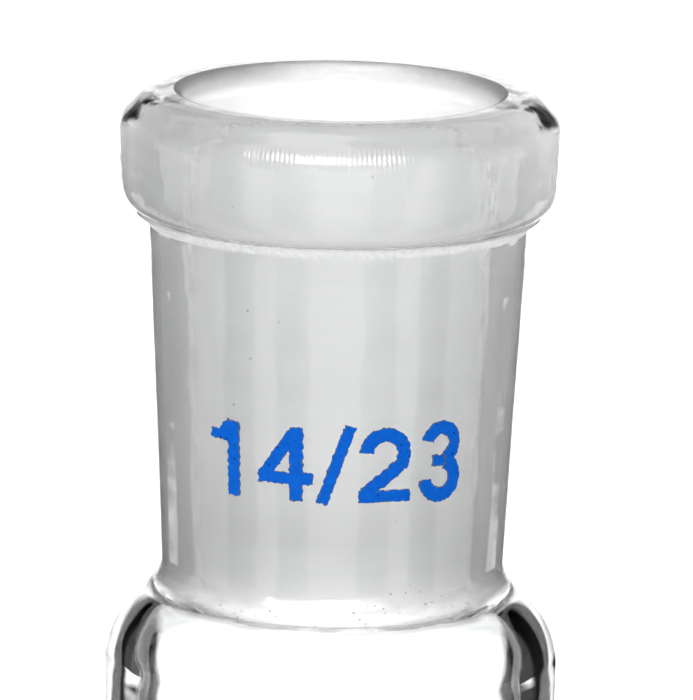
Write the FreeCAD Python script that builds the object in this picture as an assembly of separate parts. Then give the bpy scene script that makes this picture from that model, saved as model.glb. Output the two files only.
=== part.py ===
"""A small Soxhlet extractor in its boiling flask, in millimetres.

+Z is up and the origin is the middle of the flask's flat base. The extractor is one piece of blown glass,
made by fusing drawn tubes and ground joints end to end, so each of those pieces is a solid of its own that
meets its neighbours face to face. The extractor's cone stands in the flask's socket with a PTFE sleeve
between them, and the paper thimble stands loose in the chamber.
"""

import FreeCAD, Part
import math
import os

V = FreeCAD.Vector
UP = V(0, 0, 1)
ORIGIN = V(0, 0, 0)

# ---- 14/23 ground joint: 14.5 mm at the large end, 1:10 on the diameter, 23 mm long ----
GROUND_LARGE_R = 7.25
GROUND_LENGTH = 23.0
GROUND_SLOPE = 0.05
LIP_DEPTH = 0.6                      # crest of the rim down to the large end of the ground cone
MOUTH_R = 7.5
CREST_R = 8.83
SOCKET_WALL = 1.8
COLLAR_R = 10.2
COLLAR_FOOT_R = 9.97
COLLAR_CORNER_DROP = 1.35
COLLAR_HEIGHT = 5.7
COLLAR_FOOT_ROUND = 1.4
COLLAR_CORNER_ROUND = 1.3
CREST_ROUND = 0.7
MOUTH_ROUND = 0.4
UNDERCUT_ROUND = 0.35                # fillet between the collar's underside and the tube

# ---- extractor chamber ----
CHAMBER_R = 10.5
CHAMBER_WALL = 1.5
SHOULDER_ARC_R = 4.4                 # outer radius of the domed shoulder's section
SHOULDER_DROP = 26.9                 # crest of the rim down to where the chamber is a plain cylinder
WELD_DROP = 23.95                    # crest of the rim down to the weld between socket and shoulder
SHOULDER_SKIRT = 3.5                 # plain tube left on the shoulder below its dome
FLARE_R = 1.6                        # fillet between the dome and the socket's tube
THROAT_WIDENING = 0.05               # from the foot of the ground bore to the weld
THROAT_DEGREES = 82.0                # where the dome's inner surface meets the throat

# ---- boiling flask, 50 ml ----
BULB_R = 25.5
BULB_WALL = 1.3
BULB_CENTRE_Z = 21.5
BASE_CORNER_R = 4.0
NECK_R = 7.75
NECK_BORE_R = 6.1
NECK_FILLET_R = 4.0
NECK_FOOT_Z = 50.0                   # where the neck's drawn tube is fused to the blown bulb
FLASK_RIM_Z = 92.0

# ---- heights of the extractor ----
CHAMBER_CENTRE_Z = 125.5             # centre of the round bottom
TOP_RIM_Z = 212.0
STEM_R = 7.5
STEM_WALL = 1.3
STEM_FOOT_Z = 97.0

# ---- PTFE sleeve between cone and flask socket ----
SLEEVE_WALL = 0.10
SLEEVE_GAP = 0.03
SLEEVE_RIM_R = 8.5
SLEEVE_RIM_THICK = 0.6
SLEEVE_RIM_ROUND = 0.15
SLEEVE_RIM_ABOVE_MOUTH = 0.08
SLEEVE_FOOT_ABOVE_GROUND = 1.5

# ---- cone and drip tip ----
CONE_BORE_R = 4.7
CONE_BORE_STRAIGHT = 3.3             # plain bore at the foot, before it widens to the stem's bore
CONE_CHAMFER = 0.25
CONE_CHAMFER_HEIGHT = 0.3
DRIP_R = 4.6
DRIP_BORE_R = 3.5
DRIP_LENGTH = 14.0
DRIP_NECKING = 1.5                   # height over which the outside narrows from the cone
DRIP_BORE_NECKING = 2.5
DRIP_CUT_DEG = 40.0

# ---- vapour tube, on the -X side ----
VAPOUR_R = 5.0
VAPOUR_BORE_R = 3.7
VAPOUR_X = -19.0
VAPOUR_LOW_Z = 107.5
VAPOUR_TOP_Z = 175.0
VAPOUR_BEND_R = 7.0

# ---- siphon, on the +X side ----
SIPHON_R = 2.5
SIPHON_BORE_R = 1.5
SIPHON_START_X = 5.0                 # inside the chamber, where the intake's bore is cut from
SIPHON_INTAKE_Z = CHAMBER_CENTRE_Z - 5.6
SIPHON_RISER_X = 14.6
SIPHON_RETURN_X = 21.6
SIPHON_CROWN_Z = 160.0               # centreline at the top of the bend
SIPHON_ENTRY_Z = 105.0               # where the return leg enters the stem
SIPHON_BEND_R = 4.5
OUTLET_R = 2.0
OUTLET_BORE_R = 1.2
OUTLET_X = 1.0
OUTLET_BEND_R = 3.2
OUTLET_END_BELOW_CONE = 9.0
BRACE_R = 1.4
CHAMBER_BRACE_Z = 150.0              # glass bar from the chamber to the siphon's riser
LEG_BRACE_Z = 124.0                  # glass bar between the siphon's two legs

# ---- paper thimble ----
THIMBLE_R = 5.8
THIMBLE_WALL = 1.0
THIMBLE_LENGTH = 50.0
THIMBLE_GAP = 0.4                    # under the thimble's round end


# ------------------------------------------------------------------ helpers
def outline(start, *steps):
    """Closed face in the XZ plane. A step is ("to", r, z) or ("arc", r_mid, z_mid, r, z)."""
    edges, here = [], V(start[0], 0, start[1])
    first = here
    for step in steps:
        end = V(step[-2], 0, step[-1])
        if step[0] == "arc":
            edges.append(Part.Arc(here, V(step[1], 0, step[2]), end).toShape())
        else:
            edges.append(Part.LineSegment(here, end).toShape())
        here = end
    if (here - first).Length > 1e-9:
        edges.append(Part.LineSegment(here, first).toShape())
    return Part.Face(Part.Wire(edges))


def turned(start, *steps):
    """Solid of revolution about Z of an outline."""
    return outline(start, *steps).revolve(ORIGIN, UP, 360)


def rounded(before, corners, after):
    """Steps through the corners (r, z, radius), each rounded by a tangent arc, to the point after them."""
    spots = [before] + [corner[:2] for corner in corners] + [after]
    steps = []
    for i, (r, z, radius) in enumerate(corners, 1):
        corner = V(r, 0, z)
        inward = (V(spots[i - 1][0], 0, spots[i - 1][1]) - corner).normalize()
        outward = (V(spots[i + 1][0], 0, spots[i + 1][1]) - corner).normalize()
        half = inward.getAngle(outward) / 2
        start = corner + inward * (radius / math.tan(half))
        end = corner + outward * (radius / math.tan(half))
        middle = corner + (inward + outward).normalize() * (radius / math.sin(half) - radius)
        steps += [("to", start.x, start.z), ("arc", middle.x, middle.z, end.x, end.z)]
    return steps + [("to", *after)]


def on_circle(centre_r, centre_z, radius, degrees):
    """Point of a circle in the XZ plane, as (r, z), with the angle measured up from the outward direction."""
    a = math.radians(degrees)
    return centre_r + radius * math.cos(a), centre_z + radius * math.sin(a)


def cylinder(radius, low, high):
    return Part.makeCylinder(radius, high - low, V(0, 0, low))


def bent_path(points, bend_radius):
    """Wire through points, with each corner rounded to the bend radius."""
    points = [V(*p) for p in points]
    edges, here = [], points[0]
    for before, corner, after in zip(points, points[1:], points[2:]):
        inward = (before - corner).normalize()
        outward = (after - corner).normalize()
        half = inward.getAngle(outward) / 2
        reach = bend_radius / math.tan(half)
        bisector = (inward + outward).normalize()
        centre = corner + bisector * (bend_radius / math.sin(half))
        start, end = corner + inward * reach, corner + outward * reach
        middle = centre - bisector * bend_radius
        if (start - here).Length > 1e-6:
            edges.append(Part.LineSegment(here, start).toShape())
        edges.append(Part.Arc(start, middle, end).toShape())
        here = end
    if (points[-1] - here).Length > 1e-6:
        edges.append(Part.LineSegment(here, points[-1]).toShape())
    return Part.Wire(edges)


def rod(path, radius):
    """Round bar along a wire."""
    first = path.OrderedEdges[0]
    start = first.valueAt(first.FirstParameter)
    along = first.tangentAt(first.FirstParameter)
    section = Part.Wire(Part.makeCircle(radius, start, along))
    return path.makePipeShell([section], True, False)


def export(name, shape):
    solids = shape.Solids
    shape = solids[0] if len(solids) == 1 else Part.makeCompound(solids)
    if not shape.isValid():
        raise SystemExit(name + " is not a valid solid")
    shape.exportStep(os.path.join("parts", name + ".step"))
    box = shape.optimalBoundingBox(False, False)
    print("%-16s %d solid(s) %9.1f mm3  z %7.2f to %7.2f  x %7.2f to %7.2f"
          % (name, len(solids), shape.Volume, box.ZMin, box.ZMax, box.XMin, box.XMax))


# ------------------------------------------------------------------ 14/23 socket
def socket_bore_r(drop):
    """Radius of the ground bore at a depth below the crest of the rim."""
    return GROUND_LARGE_R - GROUND_SLOPE * (drop - LIP_DEPTH)


def socket_outer_r(drop):
    return socket_bore_r(drop) + SOCKET_WALL


def socket_steps(foot, rim, foot_drop):
    """Outline of a socket from its outer foot (r, z), over collar and rim, to the foot of its ground bore."""
    under_collar = rim - COLLAR_HEIGHT
    corners = [
        (socket_outer_r(COLLAR_HEIGHT), under_collar, UNDERCUT_ROUND),
        (COLLAR_FOOT_R, under_collar, COLLAR_FOOT_ROUND),
        (COLLAR_R, rim - COLLAR_CORNER_DROP, COLLAR_CORNER_ROUND),
        (CREST_R, rim, CREST_ROUND),
        (MOUTH_R, rim, MOUTH_ROUND),
    ]
    return [
        *rounded(foot, corners, (GROUND_LARGE_R, rim - LIP_DEPTH)),
        ("to", socket_bore_r(foot_drop), rim - foot_drop),
    ]


# ------------------------------------------------------------------ flask
def neck_fillet(ball_r, neck_r):
    """Fillet between a ball about the bulb's centre and the neck: its centre z and its angle on the ball."""
    centre_r = NECK_R + NECK_FILLET_R
    reach = ball_r + centre_r - neck_r
    rise = math.sqrt(reach ** 2 - centre_r ** 2)
    return BULB_CENTRE_Z + rise, math.degrees(math.atan2(rise, centre_r))


def flask_bulb():
    """Round flask body with a flat base, up to the foot of the neck."""
    bore = BULB_R - BULB_WALL
    flat_r = math.sqrt((BULB_R - BASE_CORNER_R) ** 2 - (BULB_CENTRE_Z - BASE_CORNER_R) ** 2)
    corner_deg = math.degrees(math.atan2(BASE_CORNER_R - BULB_CENTRE_Z, flat_r))
    corner_middle = (corner_deg - 90) / 2
    bore_corner = BASE_CORNER_R - BULB_WALL
    fillet_r = NECK_R + NECK_FILLET_R
    neck_z, meet_deg = neck_fillet(BULB_R, NECK_R)
    bore_z, bore_meet_deg = neck_fillet(bore, NECK_BORE_R)
    return turned(
        (0, 0),
        ("to", flat_r, 0),
        ("arc", *on_circle(flat_r, BASE_CORNER_R, BASE_CORNER_R, corner_middle),
         *on_circle(flat_r, BASE_CORNER_R, BASE_CORNER_R, corner_deg)),
        ("arc", *on_circle(0, BULB_CENTRE_Z, BULB_R, 0), *on_circle(0, BULB_CENTRE_Z, BULB_R, meet_deg)),
        ("arc", *on_circle(fillet_r, neck_z, NECK_FILLET_R, 180 + meet_deg / 2), NECK_R, neck_z),
        ("to", NECK_R, NECK_FOOT_Z),
        ("to", NECK_BORE_R, NECK_FOOT_Z),
        ("to", NECK_BORE_R, bore_z),
        ("arc", *on_circle(fillet_r, bore_z, fillet_r - NECK_BORE_R, 180 + bore_meet_deg / 2),
         *on_circle(0, BULB_CENTRE_Z, bore, bore_meet_deg)),
        ("arc", *on_circle(0, BULB_CENTRE_Z, bore, 0), *on_circle(0, BULB_CENTRE_Z, bore, corner_deg)),
        ("arc", *on_circle(flat_r, BASE_CORNER_R, bore_corner, corner_middle), flat_r, BULB_WALL),
        ("to", 0, BULB_WALL),
    )


def flask_neck():
    top = FLASK_RIM_Z - WELD_DROP
    return cylinder(NECK_R, NECK_FOOT_Z, top).cut(cylinder(NECK_BORE_R, NECK_FOOT_Z, top))


def flask_socket():
    foot = (NECK_R, FLASK_RIM_Z - WELD_DROP)
    return turned(
        foot,
        *socket_steps(foot, FLASK_RIM_Z, LIP_DEPTH + GROUND_LENGTH),
        ("to", NECK_BORE_R, foot[1]),
    )


# ------------------------------------------------------------------ sleeve and cone
def flask_bore_r(z):
    return socket_bore_r(FLASK_RIM_Z - z)


CONE_OFFSET = 2 * SLEEVE_GAP + SLEEVE_WALL                     # radial, between the two ground surfaces
CONE_TOP_Z = FLASK_RIM_Z - LIP_DEPTH + CONE_OFFSET / GROUND_SLOPE
CONE_FOOT_Z = CONE_TOP_Z - GROUND_LENGTH


def cone_r(z):
    return flask_bore_r(z) - CONE_OFFSET


def joint_sleeve():
    low = CONE_FOOT_Z + SLEEVE_FOOT_ABOVE_GROUND
    rim_low = FLASK_RIM_Z + SLEEVE_RIM_ABOVE_MOUTH
    rim_high = rim_low + SLEEVE_RIM_THICK
    mouth = FLASK_RIM_Z - LIP_DEPTH
    inside = SLEEVE_GAP + SLEEVE_WALL
    flat_r = SLEEVE_RIM_R - SLEEVE_RIM_ROUND
    return turned(
        (flask_bore_r(low) - SLEEVE_GAP, low),
        ("to", flask_bore_r(mouth) - SLEEVE_GAP, mouth),
        ("to", flask_bore_r(mouth) - SLEEVE_GAP, rim_low),
        ("to", flat_r, rim_low),
        ("arc", SLEEVE_RIM_R, (rim_low + rim_high) / 2, flat_r, rim_high),
        ("to", flask_bore_r(rim_high) - inside, rim_high),
        ("to", flask_bore_r(low) - inside, low),
    )


def ground_cone():
    bore = STEM_R - STEM_WALL
    foot = CONE_FOOT_Z - CONE_CHAMFER_HEIGHT
    return turned(
        (cone_r(CONE_FOOT_Z) - CONE_CHAMFER, foot),
        ("to", cone_r(CONE_FOOT_Z), CONE_FOOT_Z),
        ("to", cone_r(CONE_TOP_Z), CONE_TOP_Z),
        ("to", STEM_R, STEM_FOOT_Z),
        ("to", bore, STEM_FOOT_Z),
        ("to", CONE_BORE_R, foot + CONE_BORE_STRAIGHT),
        ("to", CONE_BORE_R, foot),
    )


def drip_tip():
    """Narrower tube under the cone, cut off at a slant."""
    top = CONE_FOOT_Z - CONE_CHAMFER_HEIGHT
    low = top - DRIP_LENGTH
    tube = turned(
        (DRIP_R, low),
        ("to", DRIP_R, top - DRIP_NECKING),
        ("to", cone_r(CONE_FOOT_Z) - CONE_CHAMFER, top),
        ("to", CONE_BORE_R, top),
        ("to", DRIP_BORE_R, top - DRIP_BORE_NECKING),
        ("to", DRIP_BORE_R, low),
    )
    side = 4 * DRIP_R
    wedge = Part.makeBox(side, side, side, V(-side / 2, -side / 2, -side))
    wedge.rotate(ORIGIN, V(0, 1, 0), DRIP_CUT_DEG)
    wedge.translate(V(0, 0, low + DRIP_R * math.tan(math.radians(DRIP_CUT_DEG))))
    return tube.cut(wedge)


# ------------------------------------------------------------------ extractor body
def shoulder_point(degrees, wall=0.0):
    """Point of the domed shoulder's outer section, or of its inner one for a wall above 0."""
    z = TOP_RIM_Z - SHOULDER_DROP
    return on_circle(CHAMBER_R - SHOULDER_ARC_R, z, SHOULDER_ARC_R - wall, degrees)


def weld_degrees():
    """Angle on the shoulder's section at the height of the weld."""
    return math.degrees(math.asin((SHOULDER_DROP - WELD_DROP) / SHOULDER_ARC_R))


def throat_r():
    return socket_bore_r(LIP_DEPTH + GROUND_LENGTH) + THROAT_WIDENING


def top_socket():
    weld_z = TOP_RIM_Z - WELD_DROP
    tube_r = socket_outer_r(GROUND_LENGTH)
    flare_r = tube_r + FLARE_R
    dome_r = CHAMBER_R - SHOULDER_ARC_R
    rise = math.sqrt((SHOULDER_ARC_R + FLARE_R) ** 2 - (flare_r - dome_r) ** 2)
    flare_deg = math.degrees(math.atan2(rise, flare_r - dome_r))
    flare_z = TOP_RIM_Z - SHOULDER_DROP + rise
    foot = (tube_r, flare_z)
    return turned(
        shoulder_point(weld_degrees()),
        ("arc", *shoulder_point((weld_degrees() + flare_deg) / 2), *shoulder_point(flare_deg)),
        ("arc", *on_circle(flare_r, flare_z, FLARE_R, 180 + flare_deg / 2), *foot),
        *socket_steps(foot, TOP_RIM_Z, LIP_DEPTH + GROUND_LENGTH),
        ("to", throat_r(), weld_z),
    )


def shoulder():
    """Domed end of the chamber, from its plain tube up to the weld under the socket."""
    weld = weld_degrees()
    skirt = TOP_RIM_Z - SHOULDER_DROP - SHOULDER_SKIRT
    inner_middle = THROAT_DEGREES / 2
    return turned(
        (CHAMBER_R, skirt),
        ("to", *shoulder_point(0)),
        ("arc", *shoulder_point(weld / 2), *shoulder_point(weld)),
        ("to", throat_r(), TOP_RIM_Z - WELD_DROP),
        ("to", *shoulder_point(THROAT_DEGREES, CHAMBER_WALL)),
        ("arc", *shoulder_point(inner_middle, CHAMBER_WALL), *shoulder_point(0, CHAMBER_WALL)),
        ("to", CHAMBER_R - CHAMBER_WALL, skirt),
    )


def chamber_envelope():
    """Everything inside the chamber's outer surface, for trimming the side tubes."""
    ball = Part.makeSphere(CHAMBER_R, V(0, 0, CHAMBER_CENTRE_Z))
    return cylinder(CHAMBER_R, CHAMBER_CENTRE_Z, TOP_RIM_Z - SHOULDER_DROP).fuse(ball)


def stem_envelope():
    return cylinder(STEM_R, STEM_FOOT_Z, CHAMBER_CENTRE_Z)


def vapour_paths():
    """Wires of the inlet elbow, the straight riser and the outlet elbow."""
    low = (VAPOUR_X, 0, VAPOUR_LOW_Z + VAPOUR_BEND_R)
    high = (VAPOUR_X, 0, VAPOUR_TOP_Z - VAPOUR_BEND_R)
    inlet = bent_path([(0, 0, VAPOUR_LOW_Z), (VAPOUR_X, 0, VAPOUR_LOW_Z), low], VAPOUR_BEND_R)
    outlet = bent_path([high, (VAPOUR_X, 0, VAPOUR_TOP_Z), (0, 0, VAPOUR_TOP_Z)], VAPOUR_BEND_R)
    return inlet, bent_path([low, high], VAPOUR_BEND_R), outlet


def siphon_paths():
    """Wires of the riser, the bend at the top and the return leg."""
    crown = (SIPHON_RETURN_X - SIPHON_RISER_X) / 2
    riser = bent_path([(SIPHON_START_X, 0, SIPHON_INTAKE_Z), (SIPHON_RISER_X, 0, SIPHON_INTAKE_Z),
                       (SIPHON_RISER_X, 0, SIPHON_CROWN_Z - crown)], SIPHON_BEND_R)
    middle = V(SIPHON_RISER_X + crown, 0, SIPHON_CROWN_Z)
    bend = Part.Arc(V(SIPHON_RISER_X, 0, SIPHON_CROWN_Z - crown), middle,
                    V(SIPHON_RETURN_X, 0, SIPHON_CROWN_Z - crown)).toShape()
    leg = bent_path([(SIPHON_RETURN_X, 0, SIPHON_CROWN_Z - crown), (SIPHON_RETURN_X, 0, SIPHON_ENTRY_Z),
                     (0, 0, SIPHON_ENTRY_Z)], SIPHON_BEND_R)
    return riser, Part.Wire([bend]), leg


def outlet_path():
    end = CONE_FOOT_Z - OUTLET_END_BELOW_CONE
    return bent_path([(STEM_R, 0, SIPHON_ENTRY_Z), (OUTLET_X, 0, SIPHON_ENTRY_Z), (OUTLET_X, 0, end)],
                     OUTLET_BEND_R)


def chamber_tube(vapour_bore):
    low, high = CHAMBER_CENTRE_Z, TOP_RIM_Z - SHOULDER_DROP - SHOULDER_SKIRT
    wall = cylinder(CHAMBER_R, low, high).cut(cylinder(CHAMBER_R - CHAMBER_WALL, low, high))
    return wall.cut(vapour_bore)


def chamber_base(siphon_bore):
    ball = Part.makeSphere(CHAMBER_R, V(0, 0, CHAMBER_CENTRE_Z))
    hollow = Part.makeSphere(CHAMBER_R - CHAMBER_WALL, V(0, 0, CHAMBER_CENTRE_Z))
    lower_half = cylinder(CHAMBER_R + 1, CHAMBER_CENTRE_Z - CHAMBER_R - 1, CHAMBER_CENTRE_Z)
    return ball.cut(hollow).common(lower_half).cut(siphon_bore)


def stem(vapour_bore, siphon_bore):
    wall = stem_envelope().cut(cylinder(STEM_R - STEM_WALL, STEM_FOOT_Z, CHAMBER_CENTRE_Z))
    wall = wall.cut(Part.makeSphere(CHAMBER_R, V(0, 0, CHAMBER_CENTRE_Z)))
    return wall.cut(vapour_bore).cut(siphon_bore)


def siphon_outlet():
    """Inner end of the siphon: it leaves the stem's wall, turns down the axis and ends below the cone."""
    path = outlet_path()
    tube = rod(path, OUTLET_R).cut(rod(path, OUTLET_BORE_R))
    return tube.common(cylinder(STEM_R - STEM_WALL, 0, CHAMBER_CENTRE_Z))


def thimble():
    low = CHAMBER_CENTRE_Z - (CHAMBER_R - CHAMBER_WALL) + THIMBLE_GAP
    centre = low + THIMBLE_R
    bore = THIMBLE_R - THIMBLE_WALL
    top = low + THIMBLE_LENGTH
    return turned(
        (0, low),
        ("arc", *on_circle(0, centre, THIMBLE_R, -45), THIMBLE_R, centre),
        ("to", THIMBLE_R, top),
        ("to", bore, top),
        ("to", bore, centre),
        ("arc", *on_circle(0, centre, bore, -45), 0, centre - bore),
    )


def main():
    os.makedirs("parts", exist_ok=True)
    chamber, stem_solid = chamber_envelope(), stem_envelope()

    inlet, vapour_riser, outlet = vapour_paths()
    inlet_bore, outlet_bore = rod(inlet, VAPOUR_BORE_R), rod(outlet, VAPOUR_BORE_R)

    riser, crown, leg = siphon_paths()
    riser_bar, leg_bar = rod(riser, SIPHON_R), rod(leg, SIPHON_R)
    riser_bore, leg_bore = rod(riser, SIPHON_BORE_R), rod(leg, SIPHON_BORE_R)
    siphon_riser = riser_bar.cut(riser_bore).cut(chamber).cut(stem_solid)
    siphon_crown = rod(crown, SIPHON_R).cut(rod(crown, SIPHON_BORE_R))
    siphon_return = leg_bar.cut(leg_bore).cut(stem_solid)

    chamber_brace = Part.makeCylinder(BRACE_R, SIPHON_RISER_X, V(0, 0, CHAMBER_BRACE_Z), V(1, 0, 0))
    chamber_brace = chamber_brace.cut(chamber).cut(riser_bar)
    leg_brace = Part.makeCylinder(BRACE_R, SIPHON_RETURN_X - SIPHON_RISER_X,
                                  V(SIPHON_RISER_X, 0, LEG_BRACE_Z), V(1, 0, 0))
    leg_brace = leg_brace.cut(riser_bar).cut(leg_bar)

    export("flask_bulb", flask_bulb())
    export("flask_neck", flask_neck())
    export("flask_socket", flask_socket())
    export("joint_sleeve", joint_sleeve())
    export("ground_cone", ground_cone())
    export("drip_tip", drip_tip())
    export("stem", stem(inlet_bore, leg_bore))
    export("chamber_base", chamber_base(riser_bore))
    export("chamber_tube", chamber_tube(outlet_bore))
    export("shoulder", shoulder())
    export("top_socket", top_socket())
    export("vapour_inlet", rod(inlet, VAPOUR_R).cut(inlet_bore).cut(stem_solid))
    export("vapour_riser", rod(vapour_riser, VAPOUR_R).cut(rod(vapour_riser, VAPOUR_BORE_R)))
    export("vapour_outlet", rod(outlet, VAPOUR_R).cut(outlet_bore).cut(chamber))
    export("siphon_riser", siphon_riser)
    export("siphon_crown", siphon_crown)
    export("siphon_return", siphon_return)
    export("siphon_outlet", siphon_outlet())
    export("chamber_brace", chamber_brace)
    export("leg_brace", leg_brace)
    export("thimble", thimble())


main()
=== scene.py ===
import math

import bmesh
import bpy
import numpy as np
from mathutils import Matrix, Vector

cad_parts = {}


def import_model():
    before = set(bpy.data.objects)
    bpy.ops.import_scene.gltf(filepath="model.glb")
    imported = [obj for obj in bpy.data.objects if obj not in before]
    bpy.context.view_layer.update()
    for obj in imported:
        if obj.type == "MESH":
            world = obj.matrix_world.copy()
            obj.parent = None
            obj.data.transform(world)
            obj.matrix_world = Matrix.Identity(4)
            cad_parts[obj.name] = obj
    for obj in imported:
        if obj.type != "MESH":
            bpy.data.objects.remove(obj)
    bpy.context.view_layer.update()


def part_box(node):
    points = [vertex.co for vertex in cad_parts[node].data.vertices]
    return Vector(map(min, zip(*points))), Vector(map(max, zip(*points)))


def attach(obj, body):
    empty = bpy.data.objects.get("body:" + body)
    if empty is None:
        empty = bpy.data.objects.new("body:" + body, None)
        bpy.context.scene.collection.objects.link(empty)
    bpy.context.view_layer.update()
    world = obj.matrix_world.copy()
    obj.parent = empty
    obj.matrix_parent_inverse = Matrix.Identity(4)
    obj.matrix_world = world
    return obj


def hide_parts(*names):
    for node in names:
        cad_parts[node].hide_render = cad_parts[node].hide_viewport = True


# Looks of the small Soxhlet extractor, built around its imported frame. The mesh code is in millimetres.
#
# The glass of the extractor is one fused piece. Its top, the ground socket on the domed shoulder, is a fine
# lathed mesh. Everything below is one mesh grown from a distance field, so that every seal between tubes is
# a smooth fillet. The two meet without a wall between them. Flask, sleeve and thimble are lathed too. The
# joint size is thin enamel on the glass.

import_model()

import openvdb
from mathutils import Matrix, Vector

MM = 0.001


def low_mm(node):
    return Vector(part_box(node)[0]) / MM


def high_mm(node):
    return Vector(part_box(node)[1]) / MM


# ---- sizes that the frame gives
TOP_RIM_Z = high_mm("top_socket").z
FLASK_RIM_Z = high_mm("flask_socket").z
WELD_Z = low_mm("top_socket").z
SEAM_Z = low_mm("shoulder").z            # where the lathed top meets the body below
CHAMBER_R = high_mm("chamber_tube").x
CHAMBER_Z = low_mm("chamber_tube").z     # centre of the chamber's round bottom
STEM_R = high_mm("stem").x
STEM_FOOT_Z = low_mm("stem").z
CONE_FOOT_Z = high_mm("drip_tip").z
DRIP_END_Z = low_mm("drip_tip").z
BULB_R = high_mm("flask_bulb").x
NECK_R = high_mm("flask_neck").x
VAPOUR_R = high_mm("vapour_riser").y
VAPOUR_X = low_mm("vapour_riser").x + VAPOUR_R
VAPOUR_LOW_Z = low_mm("vapour_inlet").z + VAPOUR_R
VAPOUR_TOP_Z = high_mm("vapour_outlet").z - VAPOUR_R
SIPHON_R = high_mm("siphon_return").y
RISER_X = high_mm("siphon_riser").x - SIPHON_R
RETURN_X = high_mm("siphon_return").x - SIPHON_R
CROWN_Z = high_mm("siphon_crown").z - SIPHON_R
INTAKE_Z = low_mm("siphon_riser").z + SIPHON_R
ENTRY_Z = low_mm("siphon_return").z + SIPHON_R
OUTLET_R = high_mm("siphon_outlet").y
OUTLET_X = low_mm("siphon_outlet").x + OUTLET_R
OUTLET_END_Z = low_mm("siphon_outlet").z
BRACE_R = high_mm("chamber_brace").y
CHAMBER_BRACE_Z = high_mm("chamber_brace").z - BRACE_R
LEG_BRACE_Z = high_mm("leg_brace").z - BRACE_R
THIMBLE_R = high_mm("thimble").x
THIMBLE_FOOT_Z = low_mm("thimble").z
THIMBLE_TOP_Z = high_mm("thimble").z
SLEEVE_FOOT_Z = low_mm("joint_sleeve").z
SLEEVE_TOP_Z = high_mm("joint_sleeve").z
SLEEVE_RIM_R = high_mm("joint_sleeve").x
GRINDING_FOOT_Z, GRINDING_TOP_Z = CONE_FOOT_Z + 0.3, STEM_FOOT_Z - 2.4    # the cone's ground length

# ---- the design's own numbers, in millimetres
GROUND_LARGE_R, GROUND_LENGTH, GROUND_SLOPE = 7.25, 23.0, 0.05
LIP_DEPTH, MOUTH_R, CREST_R, SOCKET_WALL = 0.6, 7.5, 8.83, 1.8
COLLAR_R, COLLAR_FOOT_R, COLLAR_CORNER_DROP, COLLAR_HEIGHT = 10.2, 9.97, 1.35, 5.7
UNDERCUT_ROUND, COLLAR_FOOT_ROUND, COLLAR_CORNER_ROUND, CREST_ROUND, MOUTH_ROUND = 0.55, 1.4, 1.3, 1.6, 0.3
SHOULDER_ARC_R, SHOULDER_DROP, FLARE_R, THROAT_ROUND, THROAT_WIDENING = 4.4, 26.9, 1.6, 1.5, 0.03
CHAMBER_WALL, STEM_WALL, BULB_WALL = 1.5, 1.3, 1.3
BULB_CENTRE_Z, BASE_CORNER_R, NECK_BORE_R, NECK_FILLET_R = 21.5, 4.0, 6.1, 4.0
CONE_FOOT_R, CONE_CHAMFER_R, CONE_BORE_R, CONE_BORE_STRAIGHT = 6.1, 5.85, 4.7, 3.3
DRIP_R, DRIP_BORE_R, DRIP_NECKING, DRIP_BORE_NECKING, DRIP_CUT_DEG = 4.6, 3.5, 1.5, 2.5, 40.0
VAPOUR_BORE_R, VAPOUR_BEND_R = 3.7, 7.0
SIPHON_BORE_R, SIPHON_BEND_R, OUTLET_BORE_R, OUTLET_BEND_R = 1.5, 4.5, 1.2, 3.2
THIMBLE_WALL, SLEEVE_WALL, SLEEVE_GAP = 1.0, 0.10, 0.03
FIGURE_HEIGHT, PEN = 3.45, 0.62          # of the joint size
GLASS_IOR = 1.473
CLEAR_TINT = (0.985, 0.992, 0.99, 1)
GLASS_PITCH, COLLAR_PITCH, BULB_PITCH = 0.3, 0.12, 0.8    # how finely the outlines are sampled
TOP_SEGMENTS, FLASK_SEGMENTS, PLAIN_SEGMENTS = 360, 192, 144
BODY_PITCH, QUICK_PITCH = 0.53, 0.7      # cell of the distance field under the seam
COMB_RIBS = 276                          # fine ribs round the collar's upper corner
FLAG_FADE = 0.3                          # share of a black card's half width over which its side fades
MOUTH_SHADE_BAND = 1.3                         # how far below the rim the ground mouth keeps its painted shade


# ------------------------------------------------------------------ meshes
def new_object(name, points, faces, materials, face_slots=None, smooth=True):
    """Object from points in millimetres."""
    mesh = bpy.data.meshes.new(name)
    mesh.from_pydata((np.asarray(points) * MM).tolist(), [], [tuple(f) for f in faces])
    for material in materials:
        mesh.materials.append(material)
    if face_slots is not None:
        mesh.polygons.foreach_set("material_index", np.asarray(face_slots, dtype=np.int32))
    mesh.polygons.foreach_set("use_smooth", np.full(len(mesh.polygons), smooth))
    mesh.update()
    obj = bpy.data.objects.new(name, mesh)
    bpy.context.scene.collection.objects.link(obj)
    return obj


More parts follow.
